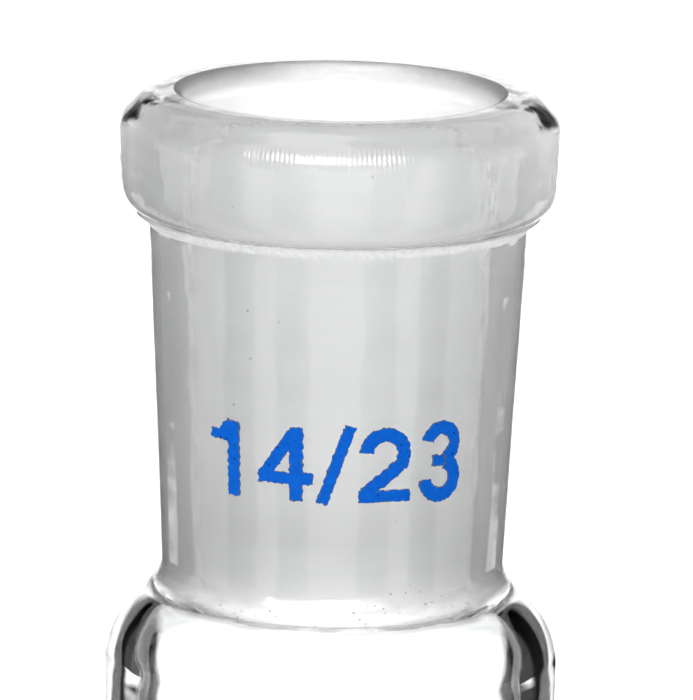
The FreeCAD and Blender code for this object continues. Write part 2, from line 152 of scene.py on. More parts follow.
class Outline:
    """A lathe's outline in (r, z): straight runs and arcs, finely sampled, with a slot for each stretch."""

    def __init__(self, r, z, slot=0, pitch=GLASS_PITCH):
        self.points, self.slots, self.slot, self.pitch = [(r, z)], [], slot, pitch

    def to(self, r, z, pitch=None):
        here = self.points[-1]
        steps = max(1, math.ceil(math.dist(here, (r, z)) / (pitch or self.pitch)))
        for i in range(1, steps + 1):
            self.add(here[0] + (r - here[0]) * i / steps, here[1] + (z - here[1]) * i / steps)
        return self

    def add(self, r, z):
        self.points.append((r, z))
        self.slots.append(self.slot)

    def arc(self, centre_r, centre_z, radius, start_deg, end_deg):
        steps = max(4, math.ceil(abs(math.radians(end_deg - start_deg)) * radius / self.pitch),
                    math.ceil(abs(end_deg - start_deg) / 9))
        for i in range(1, steps + 1):
            a = math.radians(start_deg + (end_deg - start_deg) * i / steps)
            self.add(centre_r + radius * math.cos(a), centre_z + radius * math.sin(a))
        return self

    def corner(self, r, z, next_r, next_z, radius, slot=None):
        """Straight to a corner that is rounded by a tangent arc, in a slot of its own if given."""
        here, corner, after = (Vector(p) for p in (self.points[-1], (r, z), (next_r, next_z)))
        inward, outward = (here - corner).normalized(), (after - corner).normalized()
        half = math.acos(max(-1, min(1, inward.dot(outward)))) / 2
        reach = radius / math.tan(half)
        start, end = corner + inward * reach, corner + outward * reach
        centre = corner + (inward + outward).normalized() * (radius / math.sin(half))
        self.to(*start)
        a = math.atan2(*reversed(start - centre))
        b = math.atan2(*reversed(end - centre))
        turn = (b - a + math.pi) % (2 * math.pi) - math.pi
        kept = self.slot
        self.slot = kept if slot is None else slot
        return self.arc(*centre, radius, math.degrees(a), math.degrees(a + turn)).using(kept)

    def using(self, slot):
        self.slot = slot
        return self


def lathe(name, outline, materials, segments, shape=None):
    """Solid of revolution, open where the slot is None. shape(r, angle, z) returns the moved r and z."""
    points = np.array(outline.points)
    if np.allclose(points[0], points[-1]):
        points = points[:-1]
    slots = list(outline.slots) + [outline.slots[-1]] * (len(points) - len(outline.slots))
    angles = np.arange(segments) * 2 * math.pi / segments
    verts, rings = [], []
    for r, z in points:
        if r < 1e-6:
            rings.append(np.full(segments, len(verts)))
            verts.append((0.0, 0.0, z))
            continue
        rr, zz = (np.full(segments, r), np.full(segments, z))
        if shape is not None:
            rr, zz = shape(rr, angles, zz)
        rings.append(np.arange(segments) + len(verts))
        verts += list(zip(rr * np.cos(angles), rr * np.sin(angles), zz))
    faces, face_slots = [], []
    for i in range(len(points)):
        a, b = rings[i], rings[(i + 1) % len(points)]
        if slots[i] is None or (a[0] == a[1] and b[0] == b[1]):
            continue
        for j in range(segments):
            k = (j + 1) % segments
            face = (a[j], a[k], b[k], b[j])
            faces.append(tuple(dict.fromkeys(face)))
            face_slots.append(slots[i])
    return new_object(name, verts, faces, materials, face_slots)


def ripple(seed, waves):
    """A smooth unevenness round a lathed wall: a sum of waves (turns round, mm per wave upwards, size)."""
    phases = np.random.default_rng(seed).uniform(0, 2 * math.pi, (len(waves), 2))

    def height(angle, z):
        total = 0.0
        for (turns, pitch, size), (p, q) in zip(waves, phases):
            total = total + size * np.cos(turns * angle + p) * np.cos(2 * math.pi * z / pitch + q)
        return total
    return height


# ------------------------------------------------------------------ materials
class Paint:
    """Short way to build a node material round one Principled shader."""

    def __init__(self, name, **values):
        self.material = bpy.data.materials.new(name)
        self.material.use_nodes = True
        self.nodes, self.links = self.material.node_tree.nodes, self.material.node_tree.links
        self.shader = self.nodes["Principled BSDF"]
        for key, value in values.items():
            self.shader.inputs[key.replace("_", " ")].default_value = value
        self.place = self.nodes.new("ShaderNodeTexCoord").outputs["Object"]

    def link(self, source, target):
        self.links.new(source, target)

    def stretched(self, x, y, z):
        """Object coordinates in millimetres, times a factor along each axis."""
        node = self.nodes.new("ShaderNodeMapping")
        node.inputs["Scale"].default_value = (x / MM, y / MM, z / MM)
        self.link(self.place, node.inputs["Vector"])
        return node.outputs["Vector"]

    def noise(self, scale, detail=3.0, roughness=0.5, where=None, distortion=0.0):
        node = self.nodes.new("ShaderNodeTexNoise")
        node.inputs["Scale"].default_value = scale
        node.inputs["Detail"].default_value = detail
        node.inputs["Roughness"].default_value = roughness
        node.inputs["Distortion"].default_value = distortion
        self.link(where or self.stretched(1, 1, 1), node.inputs["Vector"])
        return node.outputs["Fac"]

    def ramp(self, value, *stops):
        """Piecewise map of a value to grey levels or colours: stops are (position, level)."""
        node = self.nodes.new("ShaderNodeValToRGB")
        elements = node.color_ramp.elements
        while len(elements) < len(stops):
            elements.new(0.5)
        for element, (position, level) in zip(elements, stops):
            element.position = position
            element.color = (*level, 1) if isinstance(level, tuple) else (level, level, level, 1)
        self.link(value, node.inputs["Fac"])
        return node.outputs["Color"]

    def height(self):
        """Height above the floor, in millimetres."""
        split = self.nodes.new("ShaderNodeSeparateXYZ")
        self.link(self.stretched(1, 1, 1), split.inputs[0])
        return split.outputs["Z"]

    def math(self, operation, *values):
        node = self.nodes.new("ShaderNodeMath")
        node.operation = operation
        for socket, value in zip(node.inputs, values):
            if isinstance(value, (int, float)):
                socket.default_value = value
            else:
                self.link(value, socket)
        return node.outputs[0]

    def mix(self, share, a, b):
        """Colour mix. Each end is a colour or a socket."""
        node = self.nodes.new("ShaderNodeMix")
        node.data_type = "RGBA"
        for socket, value in ((node.inputs[0], share), (node.inputs[6], a), (node.inputs[7], b)):
            if isinstance(value, (int, float)):
                socket.default_value = value
            elif isinstance(value, tuple):
                socket.default_value = (*value, 1)
            else:
                self.link(value, socket)
        return node.outputs[2]

    def bump(self, height, distance, before=None):
        """Normal for a height of 0 to 1 that stands for a depth in millimetres."""
        node = self.nodes.new("ShaderNodeBump")
        node.inputs["Strength"].default_value = 1.0
        node.inputs["Distance"].default_value = distance * MM
        self.link(height, node.inputs["Height"])
        if before is not None:
            self.link(before, node.inputs["Normal"])
        return node.outputs["Normal"]

    def use(self, **sockets):
        for key, source in sockets.items():
            self.link(source, self.shader.inputs[key.replace("_", " ")])
        return self.material


def clear_glass():
    p = Paint("clear_glass", Transmission_Weight=1.0, IOR=GLASS_IOR, Base_Color=CLEAR_TINT)
    drawn = p.noise(0.5, 1.0, 0.4, p.stretched(1, 1, 0.1))
    blown = p.noise(0.16, 2.0, 0.4)
    normal = p.bump(drawn, 0.004, p.bump(blown, 0.10))
    haze = p.ramp(p.noise(0.5, 4.0, 0.6), (0.45, 0.0), (0.75, 0.03))
    return p.use(Roughness=haze, Normal=normal)


def specks(p, scale, size, share):
    """Sparse dark grains: 1 inside a grain, 0 elsewhere. Share is the part of the cells that hold one."""
    node = p.nodes.new("ShaderNodeTexVoronoi")
    node.inputs["Scale"].default_value = scale
    p.link(p.stretched(1, 1, 1), node.inputs["Vector"])
    split = p.nodes.new("ShaderNodeSeparateColor")
    p.link(node.outputs["Color"], split.inputs["Color"])
    chosen = p.math("LESS_THAN", split.outputs["Red"], share)
    reach = p.math("MULTIPLY", split.outputs["Green"], size * scale)
    inside = p.math("LESS_THAN", node.outputs["Distance"], reach)
    return p.math("MULTIPLY", chosen, inside)


def ground_glass():
    p = Paint("ground_glass", Transmission_Weight=1.0, IOR=GLASS_IOR)
    grain = p.noise(9.0, 3.0, 0.6)
    turned = p.noise(1.0, 4.0, 0.7, p.stretched(0.35, 0.35, 9.0))
    normal = p.bump(turned, 0.002, p.bump(grain, 0.002))
    worn = p.ramp(turned, (0.3, 0.80), (0.7, 0.95))
    cloud = p.mix(p.ramp(turned, (0.35, 0.0), (0.8, 1.0)), (0.995, 1.0, 1.0), (0.96, 0.965, 0.967))
    rings = p.ramp(p.noise(1.0, 2.0, 0.5, p.stretched(0.05, 0.05, 0.9)), (0.38, 0.0), (0.66, 1.0))
    cloud = p.mix(rings, cloud, (0.945, 0.945, 0.945))
    colour = p.mix(specks(p, 1.6, 0.05, 0.35), cloud, (0.40, 0.41, 0.42))
    return p.use(Base_Color=colour, Roughness=worn, Normal=normal)


def polished_glass(name, comb=False):
    """The collar, softened by the flame. The comb is the fine ribs that a tool left round its front."""
    p = Paint(name, Transmission_Weight=1.0, IOR=GLASS_IOR, Base_Color=CLEAR_TINT)
    normal = p.bump(p.noise(0.9, 2.0, 0.5, p.stretched(1, 1, 0.4)), 0.04)
    if comb:
        turn = p.nodes.new("ShaderNodeTexGradient")
        turn.gradient_type = "RADIAL"
        p.link(p.place, turn.inputs["Vector"])
        wave = p.math("SINE", p.math("MULTIPLY", turn.outputs["Fac"], 2 * math.pi * COMB_RIBS))
        wave = p.math("MULTIPLY_ADD", wave, 0.5, 0.5)
        front = p.ramp(turn.outputs["Fac"], (0.17, 0.0), (0.20, 1.0), (0.285, 1.0), (0.32, 0.0))
        normal = p.bump(p.math("MULTIPLY", wave, front), 0.022, normal)
    low, high = (0.04, 0.11) if comb else (0.08, 0.20)
    dull = p.ramp(p.noise(1.2, 3.0, 0.6), (0.4, low), (0.7, high))
    if comb:
        dull = p.math("ADD", dull, p.math("MULTIPLY", p.math("SUBTRACT", 1.0, front), 0.10))
    return p.use(Roughness=dull, Normal=normal)


def mouth_painted_shade_glass(rim):
    """Ground glass just inside a rim, painted darker at its rounded edge as shade: a dark line that fades
    out about a millimetre below the rim.
    """
    p = Paint("mouth_painted_shade_glass", Transmission_Weight=1.0, IOR=GLASS_IOR)
    drop = p.math("SUBTRACT", rim, p.height())
    cloud = p.noise(1.4, 3.0, 0.6)
    drop = p.math("ADD", drop, p.math("MULTIPLY", p.math("SUBTRACT", cloud, 0.5), 0.3))
    # Painted shade: the ground glass is dark grey just under the rim and turns white about a millimetre
    # lower.
    colour = p.ramp(drop, (0.08, 0.16), (0.30, 0.30), (0.60, 0.70), (1.0, 0.99))
    return p.use(Base_Color=colour, Roughness=p.ramp(cloud, (0.3, 0.6), (0.7, 0.85)))


def weld_glass(low, high):
    """The socket's seal to the dome: the frosting melts away between two heights, and grit is left."""
    p = Paint("weld_glass", Transmission_Weight=1.0, IOR=GLASS_IOR)
    cloud = p.noise(1.6, 4.0, 0.65)
    share = p.math("DIVIDE", p.math("SUBTRACT", p.height(), low), high - low)
    share = p.math("ADD", share, p.math("MULTIPLY", p.math("SUBTRACT", cloud, 0.5), 1.6))
    haze = p.ramp(share, (0.15, 0.30), (0.95, 0.9))
    tint = p.ramp(share, (0.2, 0.99), (0.9, 0.965))
    colour = p.mix(specks(p, 3.6, 0.075, 0.55), tint, (0.16, 0.16, 0.17))
    return p.use(Base_Color=colour, Roughness=haze, Normal=p.bump(cloud, 0.008))


def sealed_glass():
    """The outside of that seal, softened by the torch: slightly dull, with brushed ripples round it."""
    p = Paint("sealed_glass", Transmission_Weight=1.0, IOR=GLASS_IOR)
    ripples = p.noise(1.0, 3.0, 0.6, p.stretched(0.5, 0.5, 2.2))
    haze = p.ramp(ripples, (0.35, 0.10), (0.7, 0.30))
    tint = p.ramp(ripples, (0.4, 0.99), (0.75, 0.94))
    colour = p.mix(specks(p, 3.0, 0.08, 0.30), tint, (0.30, 0.30, 0.31))
    return p.use(Base_Color=colour, Roughness=haze, Normal=p.bump(ripples, 0.03))


def seam_painted_highlight_glass():
    """The corner under the collar: a line of half-opaque white glass, a painted highlight, with a rough,
    uneven grain.
    """
    p = Paint("seam_painted_highlight_glass", Transmission_Weight=0.4, IOR=GLASS_IOR)
    seam_grain = p.noise(4.0, 4.0, 0.7)
    # Painted highlight: the half-opaque base is near white, so the seam line shows brighter than the glass
    # beside it.
    colour = p.mix(p.ramp(seam_grain, (0.40, 0.0), (0.62, 1.0)), (0.80, 0.81, 0.81), (1.0, 1.0, 1.0))
    haze = p.ramp(seam_grain, (0.4, 0.45), (0.6, 0.8))
    return p.use(Base_Color=colour, Roughness=haze, Normal=p.bump(seam_grain, 0.03))


def enamel():
    p = Paint("blue_enamel", Roughness=0.7, Specular_IOR_Level=0.03)
    mottle = p.noise(4.0, 4.0, 0.7)
    colour = p.mix(p.ramp(mottle, (0.35, 0.0), (0.7, 1.0)), (0.0, 0.105, 0.56), (0.002, 0.135, 0.70))
    colour = p.mix(specks(p, 5.0, 0.05, 0.30), colour, (0.0, 0.02, 0.12))
    return p.use(Base_Color=colour, Normal=p.bump(p.noise(12.0, 3.0, 0.6), 0.02))


def enamel_edge():
    p = Paint("enamel_edge", Roughness=0.7, Specular_IOR_Level=0.1)
    colour = p.mix(p.noise(7.0, 3.0, 0.6), (0.02, 0.05, 0.14), (0.16, 0.18, 0.22))
    return p.use(Base_Color=colour)


def ptfe():
    p = Paint("ptfe", Transmission_Weight=0.55, IOR=1.35, Roughness=0.45)
    cloud = p.noise(0.6, 3.0, 0.5)
    colour = p.mix(cloud, (0.93, 0.93, 0.91), (0.98, 0.98, 0.97))
    streaks = p.noise(1.5, 3.0, 0.6, p.stretched(1, 1, 0.15))
    return p.use(Base_Color=colour, Normal=p.bump(streaks, 0.03))


def thimble_paper():
    p = Paint("thimble_paper", Roughness=0.92, Specular_IOR_Level=0.2)
    fibres = p.noise(2.2, 6.0, 0.75, None, 1.6)
    felt = p.noise(0.35, 3.0, 0.6)
    tone = p.mix(p.ramp(fibres, (0.3, 0.0), (0.7, 1.0)), (0.78, 0.74, 0.66), (0.93, 0.91, 0.86))
    tone = p.mix(p.ramp(felt, (0.4, 0.0), (0.7, 0.35)), tone, (0.84, 0.80, 0.71))
    return p.use(Base_Color=tone, Normal=p.bump(fibres, 0.12, p.bump(felt, 0.15)))


ENAMEL, EDGE, PTFE, PAPER = enamel(), enamel_edge(), ptfe(), thimble_paper()
GLASS = [clear_glass(), ground_glass(), weld_glass(WELD_Z - 0.3, WELD_Z + 0.75),
         polished_glass("ribbed_glass", comb=True), sealed_glass(), seam_painted_highlight_glass(),
         polished_glass("polished_glass")]
CLEAR_SLOT, GROUND_SLOT, WELD_SLOT, RIBBED_SLOT, SEALED_SLOT, SEAM_HIGHLIGHT_SLOT, POLISHED_SLOT = range(7)
MOUTH_SHADE_SLOT = 7                           # each lathed glass adds its own, with painted shade under its rim, which counts down from its rim


# ------------------------------------------------------------------ ground socket, twice
def socket_bore_r(drop):
    return GROUND_LARGE_R - GROUND_SLOPE * (drop - LIP_DEPTH)


def socket_outer_r(drop):
    return socket_bore_r(drop) + SOCKET_WALL


def add_socket(line, rim):
    """Carries an outline from the tube under the collar, over the rim, to the foot of the ground bore."""
    under = rim - COLLAR_HEIGHT
    corner = rim - COLLAR_CORNER_DROP
    line.corner(socket_outer_r(COLLAR_HEIGHT), under, COLLAR_FOOT_R, under, UNDERCUT_ROUND, SEAM_HIGHLIGHT_SLOT)
    line.using(POLISHED_SLOT).corner(COLLAR_FOOT_R, under, COLLAR_R, corner, COLLAR_FOOT_ROUND)
    line.pitch = COLLAR_PITCH
    line.corner(COLLAR_R, corner, CREST_R, rim, COLLAR_CORNER_ROUND, RIBBED_SLOT)
    line.corner(CREST_R, rim, MOUTH_R, rim, CREST_ROUND)
    line.corner(MOUTH_R, rim, GROUND_LARGE_R, rim - LIP_DEPTH, MOUTH_ROUND, MOUTH_SHADE_SLOT)
    line.using(MOUTH_SHADE_SLOT).to(GROUND_LARGE_R, rim - LIP_DEPTH)
    line.to(socket_bore_r(MOUTH_SHADE_BAND), rim - MOUTH_SHADE_BAND)
    line.using(GROUND_SLOT).pitch = GLASS_PITCH
    return line


def collar_waves(rim, seed):
    """Fire-polished glass isn't true: the collar's wall and bevel wander by a few hundredths."""
    wave = ripple(seed, [(2, 60, 0.03), (5, 17, 0.02), (9, 9, 0.015), (17, 6, 0.008), (31, 4, 0.004),
                         (0, 2.6, 0.015), (1, 1.5, 0.010), (2, 0.9, 0.005)])

    def shape(r, angle, z):
        outside = np.clip((r - MOUTH_R) / 0.8, 0, 1)
        near = np.exp(-((rim - 3 - z) / 5) ** 2) + 0.35 * np.clip((z - rim + 30) / 4, 0, 1)
        return r + wave(angle, z) * outside * near, z
    return shape


# ------------------------------------------------------------------ extractor, top
def extractor_top():
    dome_r, dome_z = CHAMBER_R - SHOULDER_ARC_R, TOP_RIM_Z - SHOULDER_DROP
    tube_r = socket_outer_r(GROUND_LENGTH)
    flare_r = tube_r + FLARE_R
    rise = math.sqrt((SHOULDER_ARC_R + FLARE_R) ** 2 - (flare_r - dome_r) ** 2)
    flare_deg = math.degrees(math.atan2(rise, flare_r - dome_r))
    bore, inner = CHAMBER_R - CHAMBER_WALL, SHOULDER_ARC_R - CHAMBER_WALL
    throat = socket_bore_r(LIP_DEPTH + GROUND_LENGTH) + THROAT_WIDENING
    turn_r = throat + THROAT_ROUND
    turn_rise = math.sqrt((inner + THROAT_ROUND) ** 2 - (turn_r - dome_r) ** 2)
    turn_deg = math.degrees(math.atan2(turn_rise, turn_r - dome_r))
    line = Outline(CHAMBER_R, SEAM_Z)
    line.to(CHAMBER_R, dome_z).arc(dome_r, dome_z, SHOULDER_ARC_R, 0, flare_deg)
    line.using(SEALED_SLOT).arc(flare_r, dome_z + rise, FLARE_R, 180 + flare_deg, 180).using(CLEAR_SLOT)
    add_socket(line, TOP_RIM_Z)
    line.to(throat, dome_z + turn_rise, 0.5)
    line.using(WELD_SLOT).arc(turn_r, dome_z + turn_rise, THROAT_ROUND, 180, 180 + turn_deg)
    line.using(CLEAR_SLOT).arc(dome_r, dome_z, inner, turn_deg, 0).to(bore, SEAM_Z)
    line.using(None).to(CHAMBER_R, SEAM_Z, 5)    # no wall: the body is the same glass and goes on below
    materials = GLASS + [mouth_painted_shade_glass(TOP_RIM_Z)]
    obj = lathe("extractor_top", line, materials, TOP_SEGMENTS, collar_waves(TOP_RIM_Z, 7))
    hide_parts("top_socket", "shoulder")
    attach(obj, "extractor")
    return obj


# ------------------------------------------------------------------ extractor, body
def smooth_min(a, b, k):
    h = np.maximum(k - np.abs(a - b), 0) / k
    return np.minimum(a, b) - h * h * k / 4


def smooth_max(a, b, k):
    return -smooth_min(-a, -b, k)


def path_distance(x, z, points, bends):
    """Distance in the XZ plane to a line through points whose corners are rounded to the bends' radii."""
    points = [np.array(p, float) for p in points]
    best = np.full(np.broadcast(x, z).shape, 1e3)
    here = points[0]

    def run(a, b):
        along = b - a
        t = ((x - a[0]) * along[0] + (z - a[1]) * along[1]) / (along @ along)
        t = np.clip(t, 0, 1)
        return np.hypot(x - a[0] - t * along[0], z - a[1] - t * along[1])

    for before, corner, after, radius in zip(points, points[1:], points[2:], bends):
        inward = (before - corner) / np.linalg.norm(before - corner)
        outward = (after - corner) / np.linalg.norm(after - corner)
        bisector = (inward + outward) / np.linalg.norm(inward + outward)
        half = math.acos(float(inward @ outward)) / 2
        centre = corner + bisector * (radius / math.sin(half))
        reach = radius / math.tan(half)
        start, end = corner + inward * reach, corner + outward * reach
        best = np.minimum(best, run(here, start))
        dx, dz = x - centre[0], z - centre[1]
        away = np.hypot(dx, dz) + 1e-9
        within = -(dx * bisector[0] + dz * bisector[1]) / away >= math.sin(half)
        best = np.where(within, np.minimum(best, np.abs(away - radius)), best)
        here = end
    return np.minimum(best, run(here, points[-1]))


def body_field(x, y, z):
    """Signed distance, in millimetres, to the fused glass below the seam: under 0 is glass.

    The last number of each smooth_min and smooth_max is the size of the fillet that it makes."""
    axis = np.hypot(x, y)
    ball = np.where(z > CHAMBER_Z, axis, np.hypot(axis, z - CHAMBER_Z))
    outer_r = np.interp(z, [DRIP_END_Z, CONE_FOOT_Z - DRIP_NECKING, CONE_FOOT_Z, GRINDING_FOOT_Z,
                            GRINDING_TOP_Z, STEM_FOOT_Z],
                        [DRIP_R, DRIP_R, CONE_CHAMFER_R, CONE_FOOT_R, GROUND_LARGE_R, STEM_R])
    inner_r = np.interp(z, [DRIP_END_Z, CONE_FOOT_Z - DRIP_BORE_NECKING, CONE_FOOT_Z,
                            CONE_FOOT_Z + CONE_BORE_STRAIGHT, STEM_FOOT_Z],
                        [DRIP_BORE_R, DRIP_BORE_R, CONE_BORE_R, CONE_BORE_R, STEM_R - STEM_WALL])
    vapour = path_distance(x, z, [(0, VAPOUR_LOW_Z), (VAPOUR_X, VAPOUR_LOW_Z), (VAPOUR_X, VAPOUR_TOP_Z),
                                  (0, VAPOUR_TOP_Z)], [VAPOUR_BEND_R, VAPOUR_BEND_R])
    vapour = np.hypot(vapour, y)
    crown = (RETURN_X - RISER_X) / 2
    siphon = path_distance(x, z, [(5, INTAKE_Z), (RISER_X, INTAKE_Z), (RISER_X, CROWN_Z),
                                  (RETURN_X, CROWN_Z), (RETURN_X, ENTRY_Z), (OUTLET_X, ENTRY_Z),
                                  (OUTLET_X, OUTLET_END_Z - 4)],
                           [SIPHON_BEND_R, crown - 1e-4, crown - 1e-4, SIPHON_BEND_R, OUTLET_BEND_R])
    siphon = np.hypot(siphon, y)
    inside = np.clip((STEM_R - x) / 1.0, 0, 1) * (z < CHAMBER_Z - 12)
    siphon_outer = siphon - (SIPHON_R - (SIPHON_R - OUTLET_R) * inside)
    siphon_bore = siphon - (SIPHON_BORE_R - (SIPHON_BORE_R - OUTLET_BORE_R) * inside)
    brace_a = path_distance(x, z, [(8, CHAMBER_BRACE_Z), (RISER_X, CHAMBER_BRACE_Z)], [])
    brace_b = path_distance(x, z, [(RISER_X, LEG_BRACE_Z), (RETURN_X, LEG_BRACE_Z)], [])

    solid = smooth_min(ball - CHAMBER_R, np.maximum(axis - outer_r, z - CHAMBER_Z), 3.0)
    solid = smooth_min(solid, vapour - VAPOUR_R, 2.6)
    solid = smooth_min(solid, siphon_outer, 1.5)
    for brace in (brace_a, brace_b):
        solid = smooth_min(solid, np.hypot(brace, y) - BRACE_R, 1.2)
    below_chamber = smooth_max(axis - inner_r, CHAMBER_R - ball, 1.0)
    hollow = smooth_min(ball - (CHAMBER_R - CHAMBER_WALL), vapour - VAPOUR_BORE_R, 1.5)
    hollow = smooth_min(hollow, below_chamber, 1.0)
    walls = smooth_max(solid, -hollow, 0.4)
    slope = math.tan(math.radians(DRIP_CUT_DEG))
    cut = (DRIP_END_Z + (DRIP_R - x) * slope - z) * math.cos(math.radians(DRIP_CUT_DEG))
    walls = smooth_max(walls, cut, 0.5)
    outlet = np.where((z < ENTRY_Z + 4) & (x < STEM_R), siphon_outer, 1e3)
    outlet = smooth_max(outlet, OUTLET_END_Z - z, 0.3)
    blend = np.interp(z, [ENTRY_Z - 5, ENTRY_Z - 2], [0.01, 0.9])
    walls = smooth_min(walls, outlet, blend)
    return smooth_max(walls, -siphon_bore, 0.3)


def project(points, rounds=2):
    """Moves points along the field's slope onto its surface."""
    step = 0.02
    for _ in range(rounds):
        x, y, z = points.T
        value = body_field(x, y, z)
        slope = np.stack([body_field(x + step, y, z) - body_field(x - step, y, z),
                          body_field(x, y + step, z) - body_field(x, y - step, z),
                          body_field(x, y, z + step) - body_field(x, y, z - step)], 1) / (2 * step)
        steep = np.maximum((slope ** 2).sum(1), 0.3)
        move = slope * (np.clip(value, -0.3, 0.3) / steep)[:, None]
        points = points - move
    return points


def extractor_body():
    pitch = BODY_PITCH
    low = np.array([VAPOUR_X - VAPOUR_R, -CHAMBER_R, DRIP_END_Z]) - 3 * pitch
    high = np.array([RETURN_X + SIPHON_R, CHAMBER_R, SEAM_Z + 0.6]) + 3 * pitch
    count = np.ceil((high - low) / pitch).astype(int) + 1
    x, y, z = (low[i] + pitch * np.arange(count[i]) for i in range(3))
    field = body_field(x[:, None, None], y[None, :, None], z[None, None, :])
    grid = openvdb.FloatGrid(3.0)
    grid.copyFromArray(np.clip(field, -3, 3).astype(np.float32))
    points, quads = grid.convertToQuads(0.0)
    points = low + points.astype(float) * pitch
    ends = np.concatenate([quads[:, [0, 1]], quads[:, [1, 2]], quads[:, [2, 3]], quads[:, [3, 0]]])
    degree = np.bincount(ends[:, 0], minlength=len(points))
    for _ in range(3):
        total = np.stack([np.bincount(ends[:, 0], points[ends[:, 1], k], len(points)) for k in range(3)], 1)
        points = project(0.5 * points + 0.5 * total / np.maximum(degree, 1)[:, None], 1)
    points = project(points)
    obj = new_object("extractor_body", points, quads.tolist(), GLASS)

    bm = bmesh.new()
    bm.from_mesh(obj.data)
    bmesh.ops.bisect_plane(bm, geom=bm.verts[:] + bm.edges[:] + bm.faces[:], plane_co=(0, 0, SEAM_Z * MM),
                           plane_no=(0, 0, 1), clear_outer=True)
    bmesh.ops.recalc_face_normals(bm, faces=bm.faces[:])
    mid_wall = (CONE_BORE_R + STEM_R) / 2 - 0.3
    for face in bm.faces:
        middle = face.calc_center_median() / MM
        outside = math.hypot(middle.x, middle.y) > mid_wall
        ground = outside and GRINDING_FOOT_Z < middle.z < GRINDING_TOP_Z and face.normal.z > -0.5
        face.material_index = GROUND_SLOT if ground else CLEAR_SLOT
    bm.to_mesh(obj.data)
    bm.free()
    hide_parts("ground_cone", "drip_tip", "stem", "chamber_base", "chamber_tube", "vapour_inlet",
                "vapour_riser", "vapour_outlet", "siphon_riser", "siphon_crown", "siphon_return",
                "siphon_outlet", "chamber_brace", "leg_brace")
    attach(obj, "extractor")
    return obj


# ------------------------------------------------------------------ flask
def neck_fillet(ball_r, neck_r):
    centre_r = NECK_R + NECK_FILLET_R
    rise = math.sqrt((ball_r + centre_r - neck_r) ** 2 - centre_r ** 2)
    return BULB_CENTRE_Z + rise, math.degrees(math.atan2(rise, centre_r))


def flask():
    bore = BULB_R - BULB_WALL
    flat_r = math.sqrt((BULB_R - BASE_CORNER_R) ** 2 - (BULB_CENTRE_Z - BASE_CORNER_R) ** 2)
    corner_deg = math.degrees(math.atan2(BASE_CORNER_R - BULB_CENTRE_Z, flat_r))
    fillet_r = NECK_R + NECK_FILLET_R
    neck_z, meet_deg = neck_fillet(BULB_R, NECK_R)
    bore_z, bore_meet_deg = neck_fillet(bore, NECK_BORE_R)
    foot = LIP_DEPTH + GROUND_LENGTH
    neck_top = FLASK_RIM_Z - foot - 0.35
    dimple = 0.5
    line = Outline(0, dimple, pitch=BULB_PITCH)
    line.to(flat_r - 3, dimple * 0.6).to(flat_r, 0)
    line.arc(flat_r, BASE_CORNER_R, BASE_CORNER_R, -90, corner_deg)
    line.arc(0, BULB_CENTRE_Z, BULB_R, corner_deg, meet_deg)
    line.arc(fillet_r, neck_z, NECK_FILLET_R, 180 + meet_deg, 180)
    line.to(NECK_R, neck_top).to(socket_outer_r(foot - 1), FLASK_RIM_Z - foot + 1)
    add_socket(line, FLASK_RIM_Z)
    line.to(socket_bore_r(foot), FLASK_RIM_Z - foot, 0.5).using(CLEAR_SLOT)
    line.pitch = BULB_PITCH
    line.to(NECK_BORE_R, neck_top).to(NECK_BORE_R, bore_z)
    line.arc(fillet_r, bore_z, fillet_r - NECK_BORE_R, 180, 180 + bore_meet_deg)
    line.arc(0, BULB_CENTRE_Z, bore, bore_meet_deg, corner_deg)
    line.arc(flat_r, BASE_CORNER_R, BASE_CORNER_R - BULB_WALL, corner_deg, -90)
    line.to(flat_r - 3, BULB_WALL + dimple * 0.6).to(0, BULB_WALL + dimple)
    materials = GLASS + [mouth_painted_shade_glass(FLASK_RIM_Z)]
    obj = lathe("flask_glass", line, materials, FLASK_SEGMENTS, collar_waves(FLASK_RIM_Z, 19))
    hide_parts("flask_bulb", "flask_neck", "flask_socket")
    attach(obj, "flask")
    return obj


# ------------------------------------------------------------------ sleeve and thimble
def sleeve():
    def wall_r(z, offset):
        return socket_bore_r(FLASK_RIM_Z - z) - offset

    rim_low = SLEEVE_TOP_Z - 0.6
    outside, inside = SLEEVE_GAP, SLEEVE_GAP + SLEEVE_WALL
    mouth = FLASK_RIM_Z - LIP_DEPTH
    line = Outline(wall_r(SLEEVE_FOOT_Z, outside), SLEEVE_FOOT_Z)
    line.to(wall_r(mouth, outside), mouth, 1.0).to(wall_r(mouth, outside), rim_low)
    line.corner(SLEEVE_RIM_R, rim_low, SLEEVE_RIM_R, SLEEVE_TOP_Z, 0.15)
    line.corner(SLEEVE_RIM_R, SLEEVE_TOP_Z, wall_r(SLEEVE_TOP_Z, inside), SLEEVE_TOP_Z, 0.25)
    line.corner(wall_r(SLEEVE_TOP_Z, inside), SLEEVE_TOP_Z, wall_r(mouth, inside), mouth, 0.15)
    line.to(wall_r(SLEEVE_FOOT_Z, inside), SLEEVE_FOOT_Z, 1.0)
    line.to(wall_r(SLEEVE_FOOT_Z, outside), SLEEVE_FOOT_Z)
    crimp = ripple(3, [(7, 30, 0.03), (16, 12, 0.02)])

    def shape(r, angle, z):
        return r + crimp(angle, z) * np.clip((r - SLEEVE_RIM_R + 0.5) / 0.5, 0, 1) - 0.02, z

    obj = lathe("ptfe_sleeve", line, [PTFE], PLAIN_SEGMENTS, shape)
    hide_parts("joint_sleeve")
    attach(obj, "sleeve")
    return obj


